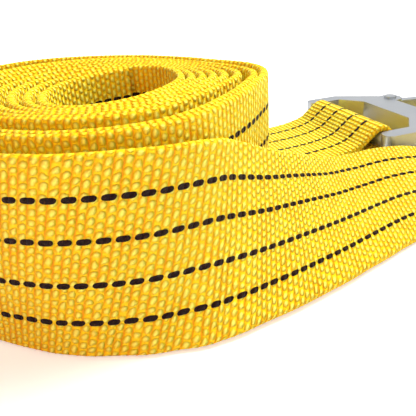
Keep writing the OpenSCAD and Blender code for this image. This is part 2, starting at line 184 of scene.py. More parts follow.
class ShaderGraph(NodeGraph):
    """Shader nodes of one material or of the world."""

    def __init__(self, owner: bpy.types.ID, output: str = "ShaderNodeOutputMaterial") -> None:
        """Empty the owner's node tree and give it an output.

        Args:
            owner: The material or the world.
            output: Blender's name of the output node.
        """
        owner.use_nodes = True
        super().__init__(owner.node_tree)
        self.owner = owner
        self.tree.nodes.clear()
        self.output = self.add(output)

    def finish(self, shader: bpy.types.Node) -> bpy.types.ID:
        """Show a shader on the surface, and return the material or the world."""
        self.feed(self.output.inputs["Surface"], shader.outputs[0])
        return self.owner

    def math(self, operation: str, a: object, b: object = 0.0, c: object = 0.0,
             clamp: bool = False) -> Socket:
        """Add a Math node for up to three values or sockets, and return its result."""
        return self.add("ShaderNodeMath", {0: a, 1: b, 2: c}, operation=operation,
                        use_clamp=clamp).outputs[0]

    def swing(self, value: object, amount: float) -> Socket:
        """Turn a value from 0 to 1 into an offset of an amount, half of it below 0."""
        return self.math("MULTIPLY_ADD", value, amount, -amount / 2)

    def smooth_step(self, value: object, low: float, high: float) -> Socket:
        """Return 0 below low and 1 above high, with a smooth change between them."""
        return self.add("ShaderNodeMapRange", {"Value": value, "From Min": low, "From Max": high},
                        interpolation_type="SMOOTHSTEP").outputs["Result"]

    def mix(self, factor: object, a: object, b: object) -> Socket:
        """Mix two colours: a factor of 0 gives the first one, 1 the second."""
        return self.add("ShaderNodeMix", {0: factor, 6: a, 7: b}, data_type="RGBA").outputs[2]

    def noise(self, vector: object, scale: float, detail: float = 3.0,
              roughness: float = 0.5) -> Socket:
        """Add a Noise texture at the coordinates of a socket, and return its value."""
        return self.add("ShaderNodeTexNoise", {
            "Vector": vector, "Scale": scale, "Detail": detail, "Roughness": roughness,
        }).outputs["Fac"]

    def bump(self, height: object, distance: float, strength: float = 1.0) -> Socket:
        """Return a normal for a height from 0 to 1, with the distance in metres."""
        return self.add("ShaderNodeBump", {
            "Distance": distance, "Strength": strength, "Height": height,
        }).outputs["Normal"]

    def surface(self, **inputs: object) -> Material:
        """Finish the material with a Principled shader; the inputs' names have underscores."""
        return self.finish(self.add("ShaderNodeBsdfPrincipled", {
            key.replace("_", " "): value for key, value in inputs.items()}))


@dataclass(frozen=True)
class Lattice:
    """Brick pattern of woven knots: ribs across the webbing, knots along each rib."""

    rib_pitch: float = 0.00185
    knot_pitch: float = 0.00235
    depth: float = 0.0003
    knot_half_length: float = 0.50
    knot_half_width: float = 0.44
    rib_share: float = 0.35
    picot_share: float = 0.7

    def height(self, across: float, along: float) -> float:
        """Return the relief at a place on the webbing.

        Args:
            across: Distance from the webbing's edge, in metres.
            along: Distance along the webbing, in metres.

        Returns:
            The relief, from 0 in the hollows to the full depth on the knots.
        """
        rib = along / self.rib_pitch
        row = across / self.knot_pitch + 0.5 * (math.floor(rib) % 2)
        fx, fy = rib % 1.0 - 0.5, row % 1.0 - 0.5
        knot = max(0.0, 1.0 - (fx / self.knot_half_length) ** 2
                   - (fy / self.knot_half_width) ** 2)
        ridge = math.cos(math.pi * fx)
        return self.depth * (self.rib_share * ridge + (1 - self.rib_share) * knot)

    def picot(self, along: float) -> float:
        """Return how far the turned weft stands out of the edge at a place along it."""
        ridge = math.cos(math.pi * (along / self.rib_pitch % 1.0 - 0.5))
        return self.picot_share * self.depth * ridge


@dataclass(frozen=True)
class WebbingWeave:
    """Coarse polyester weave with four dashed tracer lines, on the webbing's own UV map.

    The map is in metres: U runs across the webbing and V runs along it.
    """

    lattice: Lattice
    width: float = 0.05
    tracer_places: tuple[float, ...] = (0.193, 0.391, 0.609, 0.807)
    tracer_phases: tuple[float, ...] = (0.30, 0.19, 0.03, 0.0)
    tracer_half_width: float = 0.00078
    dash_pitch: float = 0.0037
    dash_share: float = 0.79
    # By the knots' relief the colour runs from painted shade in the hollows, through the yarn's own yellow, to a
    # painted highlight on the knot tops
    highlight: Colour = (1.0, 0.95, 0.15, 1.0)
    yarn: Colour = (1.0, 0.72, 0.010, 1.0)
    hollow_shade: Colour = (0.86, 0.34, 0.0, 1.0)
    tracer: Colour = (0.009, 0.0008, 0.0004, 1.0)
    tracer_fibre: Colour = (0.07, 0.020, 0.006, 1.0)
    # Levels of the relief over which the yarn and then the painted highlight come in, above the painted shade of
    # the hollows
    yarn_levels: Pair = (-0.05, 0.22)
    highlight_levels: Pair = (0.35, 0.95)
    fibre_levels: Pair = (0.5, 0.8)
    relief: float = 0.0011
    ridge_share: float = 0.3
    tracer_lump: float = 0.35
    fibre_lump: float = 0.12
    selvage_blend: float = 0.0006
    selvage_wear: float = 0.6
    # How far noise shades the cloth and moves the knots along a rib
    blotch: float = 0.5
    wander: float = 0.5
    row_wander: float = 1.6
    uneven_scale: float = 420.0
    blotch_scale: float = 150.0
    fibre_scale: float = 2600.0

    def build(self) -> Material:
        """Build the material.

        Returns:
            The webbing's material.
        """
        graph = ShaderGraph(bpy.data.materials.new("webbing_weave"))
        place = graph.add("ShaderNodeUVMap", uv_map="web").outputs[0]
        across, along, _ = graph.add("ShaderNodeSeparateXYZ", {0: place}).outputs
        uneven = graph.noise(place, self.uneven_scale, 2.0)
        knots = self.knot_height(graph, across, along, uneven)
        tracer = self.tracer_mask(graph, across, along)
        blotch = graph.noise(place, self.blotch_scale)
        shade = graph.swing(blotch, self.blotch)
        level = graph.math("ADD", knots, shade, clamp=True)
        # Painted shade in the hollows and a painted highlight on the knot tops, by the relief's level
        low = graph.mix(graph.smooth_step(level, *self.yarn_levels), self.hollow_shade, self.yarn)
        cloth = graph.mix(graph.smooth_step(level, *self.highlight_levels), low, self.highlight)
        fibres = graph.noise(place, self.fibre_scale, 2.0)
        ply = graph.mix(graph.smooth_step(fibres, *self.fibre_levels), self.tracer,
                        self.tracer_fibre)
        colour = graph.mix(tracer, cloth, ply)
        lump = graph.math("MULTIPLY_ADD", tracer, self.tracer_lump, knots)
        height = graph.math("MULTIPLY_ADD", fibres, self.fibre_lump, lump)
        return graph.surface(
            Base_Color=colour,
            Roughness=0.6,
            Normal=graph.bump(height, self.relief),
            Sheen_Weight=0.03,
            Sheen_Roughness=0.4,
            Specular_IOR_Level=0.2,
        )

    def knot_height(self, graph: ShaderGraph, across: Socket, along: Socket,
                    uneven: Socket) -> Socket:
        """Return the relief of the woven knots, from 0 in the hollows to 1 on the knots.

        Args:
            graph: The material's graph.
            across: Socket with the place across the webbing.
            along: Socket with the place along the webbing.
            uneven: Socket with a noise that shifts the knots a little.

        Returns:
            The relief's socket.
        """
        wander = graph.swing(uneven, self.wander)
        rib = graph.math("MULTIPLY_ADD", wander, 0.5,
                         graph.math("DIVIDE", along, self.lattice.rib_pitch))
        odd = graph.math("MULTIPLY", graph.math("FLOORED_MODULO", graph.math("FLOOR", rib), 2.0),
                         0.5)
        row = graph.math("ADD", graph.math("DIVIDE", across, self.lattice.knot_pitch), odd)
        row = graph.math("MULTIPLY_ADD", wander, self.row_wander, row)
        places, fars = [], []
        for cell, half in ((rib, self.lattice.knot_half_length),
                           (row, self.lattice.knot_half_width)):
            places.append(graph.math("SUBTRACT", graph.math("FRACT", cell), 0.5))
            share = graph.math("ABSOLUTE", graph.math("DIVIDE", places[-1], half))
            fars.append(graph.math("POWER", share, 2.0))
        knot = graph.math("SUBTRACT", 1.0, graph.math("ADD", *fars), clamp=True)
        ridge = graph.math("COSINE", graph.math("MULTIPLY", places[0], math.pi))
        side = graph.math("ABSOLUTE", graph.math("SUBTRACT", across, self.width / 2))
        selvage = graph.smooth_step(side, self.width / 2 - self.selvage_blend,
                                    self.width / 2 + self.selvage_blend)
        knot = graph.math("MULTIPLY", knot, graph.math(
            "MULTIPLY_ADD", selvage, -self.selvage_wear, 1.0))
        return graph.math("MULTIPLY_ADD", knot, 1 - self.ridge_share,
                          graph.math("MULTIPLY", ridge, self.ridge_share))

    def tracer_mask(self, graph: ShaderGraph, across: Socket, along: Socket) -> Socket:
        """Return 1 on the dark dashes of the tracer lines and 0 elsewhere.

        Args:
            graph: The material's graph.
            across: Socket with the place across the webbing.
            along: Socket with the place along the webbing.

        Returns:
            The mask's socket.
        """
        mask: object = 0.0
        for place, shift in zip(self.tracer_places, self.tracer_phases):
            off = graph.math("ABSOLUTE", graph.math("SUBTRACT", across, place * self.width))
            phase = graph.math("ADD", graph.math("DIVIDE", along, self.dash_pitch),
                               1000.0 - shift)
            swing = graph.math("ABSOLUTE", graph.math(
                "SUBTRACT", graph.math("FRACT", phase), 0.5))
            reach = graph.math("DIVIDE", swing, self.dash_share / 2)
            bulge = graph.math("SQRT", graph.math(
                "SUBTRACT", 1.0, graph.math("POWER", reach, 4.0), clamp=True))
            limit = graph.math("MULTIPLY", bulge, self.tracer_half_width)
            inside = graph.smooth_step(graph.math("SUBTRACT", limit, off), -0.00006, 0.0001)
            mask = graph.math("MAXIMUM", mask, inside)
        return mask


@dataclass(frozen=True)
class MetalFinish:
    """Plated or bare steel with fine scratches, stains and a slightly uneven gloss."""

    name: str
    colour: Colour
    tint: Colour
    roughness: float = 0.3
    grain: float = 0.00003
    stain_scale: float = 55.0
    cloud_scale: float = 14.0
    pit_scale: float = 900.0
    scratch_scales: Triple = (90.0, 1400.0, 1400.0)

    def build(self) -> Material:
        """Build the material.

        Returns:
            The metal's material.
        """
        graph = ShaderGraph(bpy.data.materials.new(self.name))
        place = graph.add("ShaderNodeTexCoord").outputs["Object"]
        stain = graph.noise(place, self.stain_scale, 4.0, 0.6)
        cloud = graph.noise(place, self.cloud_scale, 2.0)
        stretch = graph.add("ShaderNodeMapping",
                            {"Scale": self.scratch_scales, "Vector": place})
        scratch = graph.noise(stretch.outputs[0], 1.0, 3.0, 0.6)
        colour = graph.mix(graph.smooth_step(cloud, 0.35, 0.7), self.colour, self.tint)
        gloss = graph.math("MULTIPLY_ADD", stain, 0.22, self.roughness - 0.11)
        rough = graph.math("MULTIPLY_ADD", scratch, 0.12, gloss)
        pits = graph.noise(place, self.pit_scale, 2.0)
        height = graph.math("MULTIPLY_ADD", pits, 0.6, scratch)
        return graph.surface(Base_Color=colour, Metallic=1.0, Roughness=rough,
                             Normal=graph.bump(height, self.grain, 0.6))


@dataclass(frozen=True)
class RubberFinish:
    """Matte moulded rubber with a fine pebbled skin."""

    name: str = "grip_rubber"
    colour: Colour = (0.028, 0.028, 0.030, 1.0)
    rubbed: Colour = (0.062, 0.062, 0.064, 1.0)
    wear_scale: float = 60.0
    pebble_scale: float = 1300.0
    pebble_height: float = 0.00006

    def build(self) -> Material:
        """Build the material.

        Returns:
            The rubber's material.
        """
        graph = ShaderGraph(bpy.data.materials.new(self.name))
        place = graph.add("ShaderNodeTexCoord").outputs["Object"]
        worn = graph.smooth_step(graph.noise(place, self.wear_scale, 4.0), 0.45, 0.75)
        pebbles = graph.add("ShaderNodeTexVoronoi",
                            {"Vector": place, "Scale": self.pebble_scale}, feature="F1")
        return graph.surface(
            Base_Color=graph.mix(worn, self.colour, self.rubbed),
            Roughness=0.66,
            Normal=graph.bump(pebbles.outputs["Distance"], self.pebble_height, 0.7),
        )


@dataclass(frozen=True)
class ThreadFinish:
    """Twisted sewing thread."""

    name: str = "sewing_thread"
    colour: Colour = (0.80, 0.50, 0.02, 1.0)
    pale: Colour = (1.0, 0.78, 0.12, 1.0)
    fuzz_scale: float = 3000.0
    fuzz_height: float = 0.00008

    def build(self) -> Material:
        """Build the material.

        Returns:
            The thread's material.
        """
        graph = ShaderGraph(bpy.data.materials.new(self.name))
        place = graph.add("ShaderNodeTexCoord").outputs["Object"]
        fuzz = graph.noise(place, self.fuzz_scale, 2.0)
        return graph.surface(Base_Color=graph.mix(fuzz, self.colour, self.pale), Roughness=0.6,
                             Normal=graph.bump(fuzz, self.fuzz_height, 0.8))


# ---- webbing


def swept_mesh(name: str, rings: Sequence[Sequence[Vector]], material: Material) -> bpy.types.Mesh:
    """Join rings of points into one closed mesh, smooth along its sides.

    Args:
        name: Name of the mesh.
        rings: Rings in order along the shape, all with the same number of points.
        material: Its material.

    Returns:
        The mesh, with its faces turned outwards.
    """
    sides, last = len(rings[0]), len(rings) - 1
    faces = [(i * sides + k, i * sides + (k + 1) % sides,
              (i + 1) * sides + (k + 1) % sides, (i + 1) * sides + k)
             for i in range(last) for k in range(sides)]
    faces += [tuple(reversed(range(sides))), tuple(last * sides + k for k in range(sides))]
    mesh = bpy.data.meshes.new(name)
    mesh.from_pydata([point for ring in rings for point in ring], [], faces)
    work = bmesh.new()
    work.from_mesh(mesh)
    bmesh.ops.recalc_face_normals(work, faces=work.faces)
    work.to_mesh(mesh)
    work.free()
    mesh.polygons.foreach_set("use_smooth", [len(p.vertices) == 4 for p in mesh.polygons])
    mesh.materials.append(material)
    return mesh


@dataclass
class Station:
    """One place along the webbing: its middle, and the direction across its width."""

    middle: Vector
    across: Vector


def catmull(points: Sequence[Sequence[float]], steps: int) -> list[list[float]]:
    """Smooth a list of points with a Catmull-Rom curve.

    Args:
        points: Points with any number of coordinates.
        steps: Steps between each pair of points.

    Returns:
        The points of the smooth curve, both ends included.
    """
    last = len(points) - 1
    result = []
    for i in range(last):
        p0, p1, p2, p3 = (points[max(0, min(last, i + k))] for k in (-1, 0, 1, 2))
        for step in range(steps):
            result.append([spline(*values, step / steps) for values in zip(p0, p1, p2, p3)])
    result.append(list(points[-1]))
    return result


def resample(stations: Sequence[Station], step: float) -> list[Station]:
    """Space stations evenly along the webbing.

    Args:
        stations: Stations in order.
        step: Distance wanted between two stations, in metres.

    Returns:
        Evenly spaced stations, both ends included.
    """
    lengths = [0.0]
    for a, b in zip(stations, stations[1:]):
        lengths.append(lengths[-1] + (b.middle - a.middle).length)
    count = max(2, round(lengths[-1] / step))
    result, j = [], 0
    for i in range(count + 1):
        target = lengths[-1] * i / count
        while j < len(lengths) - 2 and lengths[j + 1] < target:
            j += 1
        span = lengths[j + 1] - lengths[j] or 1.0
        t = (target - lengths[j]) / span
        a, b = stations[j], stations[j + 1]
        result.append(Station(a.middle.lerp(b.middle, t), a.across.lerp(b.across, t).normalized()))
    return result


@dataclass
class Webbing:
    """A strip of webbing swept along stations, as one closed mesh with its own UV map."""

    name: str
    stations: list[Station]
    width: float = 0.05
    thickness: float = 0.0024
    columns: int = 12
    back_columns: int = 8
    start: float = 0.0
    lattice: Lattice = Lattice()
    creep: Callable[[float, float], float] = lambda across, along: 0.0
    round_share: float = 0.8

    def length(self) -> float:
        """Return the length along the middle of the strip, in metres."""
        return sum((b.middle - a.middle).length for a, b in zip(self.stations, self.stations[1:]))

    def section(self) -> list[Triple]:
        """Draw the strip's section.

        Returns:
            Width, thickness and U of its points, front face first.
        """
        half_w, half_t = self.width / 2, self.thickness / 2
        edge = half_t * self.round_share
        flat = half_w - edge
        turn = [(flat + edge * math.sin(a), half_t * math.cos(a),
                 half_w + flat + half_t * min(a, math.pi - a))
                for a in (math.radians(d) for d in (45, 90, 135))]
        front = [-flat + 2 * flat * i / self.columns for i in range(self.columns + 1)]
        back = [flat - 2 * flat * i / self.back_columns for i in range(self.back_columns + 1)]
        return ([(w, half_t, w + half_w) for w in front] + turn
                + [(w, -half_t, w + half_w) for w in back]
                + [(-w, -t, self.width - u) for w, t, u in turn])

    def lifted(self, place: Pair, along: float) -> Pair:
        """Return a section point with the relief of the weave added.

        Args:
            place: Width and thickness of the plain point.
            along: Distance along the webbing.

        Returns:
            Width and thickness of the woven point.
        """
        w, t = place
        half_w = self.width / 2
        if abs(w) > half_w - self.round_share * self.thickness / 2 + 1e-7:
            picot = self.lattice.picot(along) - 0.5 * self.lattice.depth
            return w + math.copysign(picot, w), t
        lift = self.lattice.height(w + half_w, along) - 0.5 * self.lattice.depth
        return w, t + math.copysign(lift, t)

    def build(self, material: Material) -> bpy.types.Object:
        """Build the strip.

        Args:
            material: The webbing's material.

        Returns:
            The strip's object, at the origin.
        """
        section = self.section()
        rings, coords = [], []
        travelled = self.start
        last = len(self.stations) - 1
        for i, station in enumerate(self.stations):
            before, after = self.stations[max(i - 1, 0)], self.stations[min(i + 1, last)]
            tangent = (after.middle - before.middle).normalized()
            across = station.across
            normal = tangent.cross(across).normalized()
            if i:
                travelled += (station.middle - self.stations[i - 1].middle).length
            ring = []
            for plain_w, plain_t, u in section:
                woven = travelled + self.creep(u, travelled - self.start)
                w, t = self.lifted((plain_w, plain_t), woven)
                ring.append(station.middle + across * w + normal * t)
                coords.append((u, woven))
            rings.append(ring)
        mesh = swept_mesh(self.name, rings, material)
        layer = mesh.uv_layers.new(name="web")
        for loop in mesh.loops:
            layer.data[loop.index].uv = coords[loop.vertex_index]
        return add_object(self.name, mesh)

    def lay(self, material: Material, nodes: Sequence[str], held: str) -> None:
        """Build the strip and hide the CAD nodes that it replaces.

        Args:
            material: The webbing's material.
            nodes: CAD nodes that the strip replaces.
            held: Not used.
        """
        obj = self.build(material)
        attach(obj, Body.BASE.value)
        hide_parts(*nodes)
        self.length()
        LOG.info("%s: %.3f m of webbing, %d faces", self.name, self.length(),
                 len(obj.data.polygons))


def ease(stations: Sequence[Station], place: int, reach: int, passes: int,
         strength: float = 0.8) -> list[Station]:
    """Smooth a stretch of stations, so that two curves meet without a kink.

    Args:
        stations: Evenly spaced stations.
        place: Number of the station where the curves meet.
        reach: Stations that may move on each side of it.
        passes: Times that each one moves towards its neighbours' middle.
        strength: Share of the way that it moves.

    Returns:
        The smoothed stations.
    """
    line = list(stations)
    for _ in range(passes):
        for i in range(max(1, place - reach), min(len(line) - 1, place + reach)):
            middle = (line[i - 1].middle + line[i + 1].middle) / 2
            across = (line[i - 1].across + line[i + 1].across).normalized()
            line[i] = Station(line[i].middle.lerp(middle, strength), across)
    return line


def arc(centre: Pair, radius: float, first: float, last: float) -> list[Pair]:
    """Draw an arc.

    Args:
        centre: The arc's centre.
        radius: Its radius.
        first: Angle of its first point, in degrees.
        last: Angle of its last point, in degrees.

    Returns:
        Its points, about ARC_STEP degrees apart.
    """
    steps = max(2, round(abs(last - first) / ARC_STEP))
    angles = (math.radians(first + (last - first) * i / steps) for i in range(steps + 1))
    return [(centre[0] + radius * math.cos(a), centre[1] + radius * math.sin(a)) for a in angles]


def touch_angle(point: Pair, centre: Pair, radius: float, side: int) -> float:
    """Return at which angle a line from a point touches a circle, on its side 1 or -1."""
    dx, dy = point[0] - centre[0], point[1] - centre[1]
    return math.degrees(math.atan2(dy, dx) + side * math.acos(radius / math.hypot(dx, dy)))


def soften(points: Sequence[Pair], passes: int = 3, share: float = 0.25) -> list[Pair]:
    """Cut the corners of a line, as a thick strap does at a crease.

    Args:
        points: The line's points.
        passes: Times that every corner is cut.
        share: Share of a side that each cut takes.

    Returns:
        The softened line, with both its ends.
    """
    line = list(points)
    for _ in range(passes):
        cut = [line[0]]
        for (ax, ay), (bx, by) in zip(line, line[1:]):
            cut += [(ax + (bx - ax) * t, ay + (by - ay) * t) for t in (share, 1 - share)]
        line = cut + [line[-1]]
    return line


def level_stations(points: Sequence[Pair], y: float) -> list[Station]:
    """Return stations for a strip that lies across Y, from its side view in X and Z."""
    return [Station(Vector((x, y, z)), Vector((0, 1, 0))) for x, z in points]


@dataclass
class LongStrap:
    """The long strap: wound on edge, with its standing part twisting down to the hook."""

    axis: Vector
    width: float
    hook_bar: Vector
    lattice: Lattice
    thickness: float = 0.0024
    loop_radius: float = 0.0047
    tail_length: float = 0.034
    loop_slope: float = 0.016
    # Where the loop begins past the run, and how far before the bar it leaves the floor and
    # comes level with the bar's underside
    loop_start: float = 0.002
    loop_rise: Pair = (0.012, 0.004)
    turns: float = 8.4505
    per_turn: int = 120
    first_angle: float = 67.0
    hole_centre: Pair = (0.0117, -0.0031)
    hole_long: float = 0.02295
    hole_short: float = 0.0152
    hole_tilt: float = 49.7
    # Outer radius of the last turn from the hole's centre, by direction in degrees
    last_turn: tuple[Pair, ...] = (
        (-131, 0.0488), (-108, 0.0489), (-90, 0.0486), (-75, 0.0466), (-60, 0.0441),
        (-50, 0.0432), (-40, 0.0431), (-30, 0.0437), (-20, 0.0456), (-10, 0.0471),
        (0, 0.0468), (10, 0.0448), (20, 0.0426), (30, 0.0420), (51, 0.0437), (70, 0.0485),
        (88, 0.0555), (106, 0.0650), (117, 0.0685), (150, 0.0680), (180, 0.0652),
        (205, 0.0622), (229, 0.0593),
    )
    # The same for the turn inside it, without the thickness that a turn adds
    inner_turn: tuple[Pair, ...] = (
        (-131, 0.0464), (-108, 0.0464), (-90, 0.0458), (-75, 0.0437), (-60, 0.0411),
        (-50, 0.0402), (-40, 0.0400), (-30, 0.0405), (-20, 0.0420), (-10, 0.0424),
        (9, 0.0385), (28, 0.0362), (51, 0.0375), (70, 0.0420), (88, 0.0475),
        (106, 0.0530), (117, 0.0555), (150, 0.0560), (180, 0.0530), (205, 0.0495),
        (229, 0.0464),
    )
    front_gap: float = 0.0044
    front_angle: float = -108.0
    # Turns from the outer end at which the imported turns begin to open, and how long they take
    opening: Pair = (2.95, 0.9)
    packed_turns: float = 2.5
    # Middle of the run from the coil's axis in millimetres, with the lean away from upright
    # and the skew of its ribs in degrees
    run: tuple[Row, ...] = (
        (-23.2, -49.8, 0, 10), (-13.8, -55.1, 2, 12), (-3.6, -58.6, 4, 15), (7.1, -59.7, 6, 20),
        (17.8, -57.5, 12, 27), (28, -53.3, 25, 34), (37.7, -49, 37, 38), (46.7, -45.2, 47, 38),
        (60, -39.5, 59, 37), (73, -34, 69, 34), (87, -29, 75, 29), (100, -26.2, 77, 24),
        (114, -25.4, 80, 16), (130, -26.6, 85, 8), (147, -28.8, 89, 3), (159, -30, 90, 0),
    )
    # How far the weave has crept along the strap, in millimetres, at its upper tracer, middle
    # and lower tracer, by the distance in metres from the start of the outermost turn
    creeps: tuple[Row, ...] = (
        (0.0, 0, 0, 0), (0.1, 0.9, 0.9, 0.9), (0.15, 1.0, 1.3, 1.5), (0.1892, 1.4, 2.3, 2.6),
        (0.2017, 1.4, 2.3, 2.5), (0.2142, 0.6, 1.4, 2.0), (0.2267, 0.7, 0.5, 0.6),
        (0.2392, 0.9, -0.5, -0.9), (0.2517, 0.1, -1.7, -2.2), (0.2642, -0.7, -2.7, -3.6),
        (0.2767, -1.4, -2.4, -2.9), (0.2892, -2.2, -1.7, -1.6), (0.3017, -2.5, -1.5, -0.6),
        (0.3142, -2.3, -1.4, -0.6), (0.3267, -1.9, -1.6, -1.2), (0.362, -1.5, -1.5, -1.5),
        (9.0, -1.5, -1.5, -1.5),
    )
    # Distance of the outer tracers from the middle, as a share of the width
    tracer_reach: float = 0.307
    # Steps of the coil that the run's piece takes over, and over which it takes up the skew
    outer_steps: int = 62
    skew_steps: int = 14
    coil_step: float = 0.0007
    run_step: float = 0.00048
    ease_reach: int = 26
    ease_passes: int = 160

    def creep(self, across: float, along: float) -> float:
        """Return how far the weave has crept at a place on the outermost turn and the run.

        Args:
            across: Distance from the lower edge, in metres.
            along: Distance from the start of the outermost turn, in metres.

        Returns:
            The creep in metres.
        """
        rows = self.creeps
        i = max(k for k in range(len(rows) - 1) if rows[k][0] <= max(along, 0.0))
        t = smooth((max(along, 0.0) - rows[i][0]) / (rows[i + 1][0] - rows[i][0]))
        top, middle, bottom = (a + (b - a) * t for a, b in zip(rows[i][1:], rows[i + 1][1:]))
        share = (across / self.width - 0.5) / self.tracer_reach
        return MM * (middle + (top - middle if share > 0 else middle - bottom) * share)

    def hole_radius(self, angle: float) -> float:
        """Return the hole's radius in a direction given in degrees."""
        a = math.radians(angle - self.hole_tilt)
        return 1 / math.hypot(math.cos(a) / self.hole_long, math.sin(a) / self.hole_short)

    @staticmethod
    def between(rows: Sequence[Pair], angle: float) -> float:
        """Return a table's smooth value at an angle.

        Args:
            rows: Angles in degrees with their values.
            angle: The angle, within the table.

        Returns:
            The value at that angle.
        """
        i = max(k for k in range(len(rows) - 1) if rows[k][0] <= max(angle, rows[0][0]))
        t = (angle - rows[i][0]) / (rows[i + 1][0] - rows[i][0])
        last = len(rows) - 1
        return spline(*(rows[min(max(i + k, 0), last)][1] for k in (-1, 0, 1, 2)), t)

    def middle_radius(self, turn: float) -> float:
        """Return the strap's distance from the hole's centre after some turns.

        Args:
            turn: Turns from the free end.

        Returns:
            Radius of the strap's middle line.
        """
        half = self.thickness / 2
        to_go = self.turns - turn
        seam = self.last_turn[0][0]
        angle = (self.first_angle + 360 * turn - seam) % 360 + seam
        if to_go <= 1e-6:
            return self.last_turn[-1][1] - half
        if to_go <= 1:
            return self.between(self.last_turn, angle) - half
        loose = self.between(self.inner_turn, angle)
        wound = loose + self.thickness * (2 - to_go) - half
        hole = self.hole_radius(angle)
        gap = self.front_gap * (1 + math.cos(math.radians(angle - self.front_angle)))
        packed = hole + half + (turn * (loose - 2 * half - hole - gap)
                                / (self.turns - self.packed_turns))
        start, spread = self.opening
        return packed + (wound - packed) * smooth(clamp((turn - (self.turns - start)) / spread))

    def coil_stations(self) -> list[Station]:
        """Wind the coil.

        Returns:
            Its stations, from the free end outwards.
        """
        up = Vector((0, 0, 1))
        centre = self.axis + Vector((*self.hole_centre, 0))
        steps = round(self.turns * self.per_turn)
        result = []
        for i in range(steps + 1):
            turn = self.turns * i / steps
            a = math.radians(self.first_angle + 360 * turn)
            place = centre + self.middle_radius(turn) * Vector((math.cos(a), math.sin(a), 0))
            # The last stretch takes up the skew with which the run leaves the coil
            taken = max(0.0, 1 - (steps - i) / self.skew_steps) ** 1.5
            skew = math.radians(self.run[0][3]) * taken
            across = up * math.cos(skew) + Vector((-math.sin(a), math.cos(a), 0)) * math.sin(skew)
            result.append(Station(place + up * self.width / 2 * math.cos(skew), across))
        return result

    def run_stations(self) -> list[Station]:
        """Lead the strap from the coil to the sewn loop.

        Returns:
            The run's stations.
        """
        points = catmull(self.run, 12)
        result = []
        for i, (x, y, lean, skew) in enumerate(points):
            a, b = points[max(i - 1, 0)], points[min(i + 1, len(points) - 1)]
            heading = math.atan2(b[1] - a[1], b[0] - a[0])
            tilt, twist = math.radians(lean), math.radians(skew)
            ahead = Vector((math.cos(heading), math.sin(heading), 0))
            side = Vector((-ahead.y, ahead.x, 0))
            rise = side * math.sin(tilt) + Vector((0, 0, math.cos(tilt)))
            across = rise * math.cos(twist) + ahead * math.sin(twist)
            height = self.width / 2 * across.z + self.thickness / 2 * math.sin(tilt)
            middle = self.axis + Vector((x * MM, y * MM, height))
            result.append(Station(middle, across))
        return result

    def loop_stations(self) -> list[Station]:
        """Lead the strap along the floor, round the hook's bar and back along the tail.

        Returns:
            The loop's stations.
        """
        x, y, z = self.hook_bar
        floor = self.thickness / 2 + CLEARANCE
        crease = (x - self.loop_slope, floor + self.thickness + CLEARANCE)
        end = touch_angle(crease, (x, z), self.loop_radius, -1)
        start = self.axis.x + self.run[-1][0] * MM
        line = [(start + self.loop_start, floor), (x - self.loop_rise[0], floor),
                (x - self.loop_rise[1], z - self.loop_radius)]
        line += arc((x, z), self.loop_radius, -90, end)
        line += [crease, (crease[0] - self.tail_length, crease[1])]
        return level_stations(soften(line), y)

    def build(self, material: Material) -> None:
        """Build the long strap in two pieces that meet inside its outermost turn.

        Args:
            material: The webbing's material.
        """
        coil = self.coil_stations()
        outer = len(coil) - self.outer_steps
        inner_path = resample(coil[:outer + 1], self.coil_step)
        tail_end = self.run_stations() + self.loop_stations()
        outer_path = resample(coil[outer:] + tail_end, self.run_step)
        leaving = min(range(len(outer_path)), key=lambda i: (
            outer_path[i].middle - coil[-1].middle).length)
        outer_path = ease(outer_path, leaving + 2, self.ease_reach, self.ease_passes)
        inner = Webbing("long_strap_coil_webbing", inner_path, self.width, self.thickness,
                        columns=6, back_columns=6, lattice=self.lattice)
        front = Webbing("long_strap_webbing", resample(outer_path, self.run_step), self.width,
                        self.thickness, columns=62, back_columns=10, start=inner.length(),
                        lattice=self.lattice, creep=self.creep)
        inner.lay(material, ("long_strap_coil",), "laid")
        front.lay(material, ("long_strap_run", "long_strap_loop"), "laid")


@dataclass
class ShortStrap:
    """The short strap: looped round the ratchet's bolt and round the other hook's bar."""

    bolt: Vector
    bar: Vector
    fold_edge: float
    width: float
    lattice: Lattice
    thickness: float = 0.0024
    bolt_radius: float = 0.00758
    bolt_slope: float = 0.025
    bolt_tail: float = 0.034
    bar_radius: float = 0.0047
    bar_slope: float = 0.014
    bar_tail: float = 0.0075
    fold_radius: float = 0.00125
    fold_straight: float = 0.006
    step: float = 0.00062

    def side_view(self) -> list[Pair]:
        """Draw the strap's middle line, seen from its edge.

        Returns:
            Its points as X and Z, from the tail at the bolt to the tail at the bar.
        """
        low = self.thickness / 2 + CLEARANCE
        bolt, bar = (self.bolt.x, self.bolt.z), (self.bar.x, self.bar.z)
        upper = low + self.thickness + CLEARANCE
        tail = (bolt[0] - self.bolt_slope, upper)
        under = (bolt[0] - self.bolt_slope, low)
        first = touch_angle(tail, bolt, self.bolt_radius, -1)
        last = touch_angle(under, bolt, self.bolt_radius, 1) - 360
        fold = (self.fold_edge + self.fold_radius + self.thickness / 2, low + self.fold_radius)
        crease = (bar[0] - self.bar_slope, upper)
        rise = touch_angle(crease, bar, self.bar_radius, -1) % 360
        line = [(tail[0] - self.bolt_tail, tail[1]), tail]
        line += arc(bolt, self.bolt_radius, first, last)
        line += [under, (fold[0] + self.fold_straight, low), (fold[0] + MM, low)]
        line += arc(fold, self.fold_radius, -90, -270)
        line += [(fold[0] + self.fold_straight, upper), crease]
        line += arc(bar, self.bar_radius, rise, -90)
        line.append((bar[0] - self.bar_tail, bar[1] - self.bar_radius))
        return soften(line)

    def build(self, material: Material) -> None:
        """Build the short strap.

        Args:
            material: The webbing's material.
        """
        stations = resample(level_stations(self.side_view(), self.bolt.y), self.step)
        Webbing("short_strap_webbing", stations, self.width, self.thickness, columns=42,
                back_columns=12, lattice=self.lattice).lay(material, ("short_strap",), "folded")


# ---- pawl springs


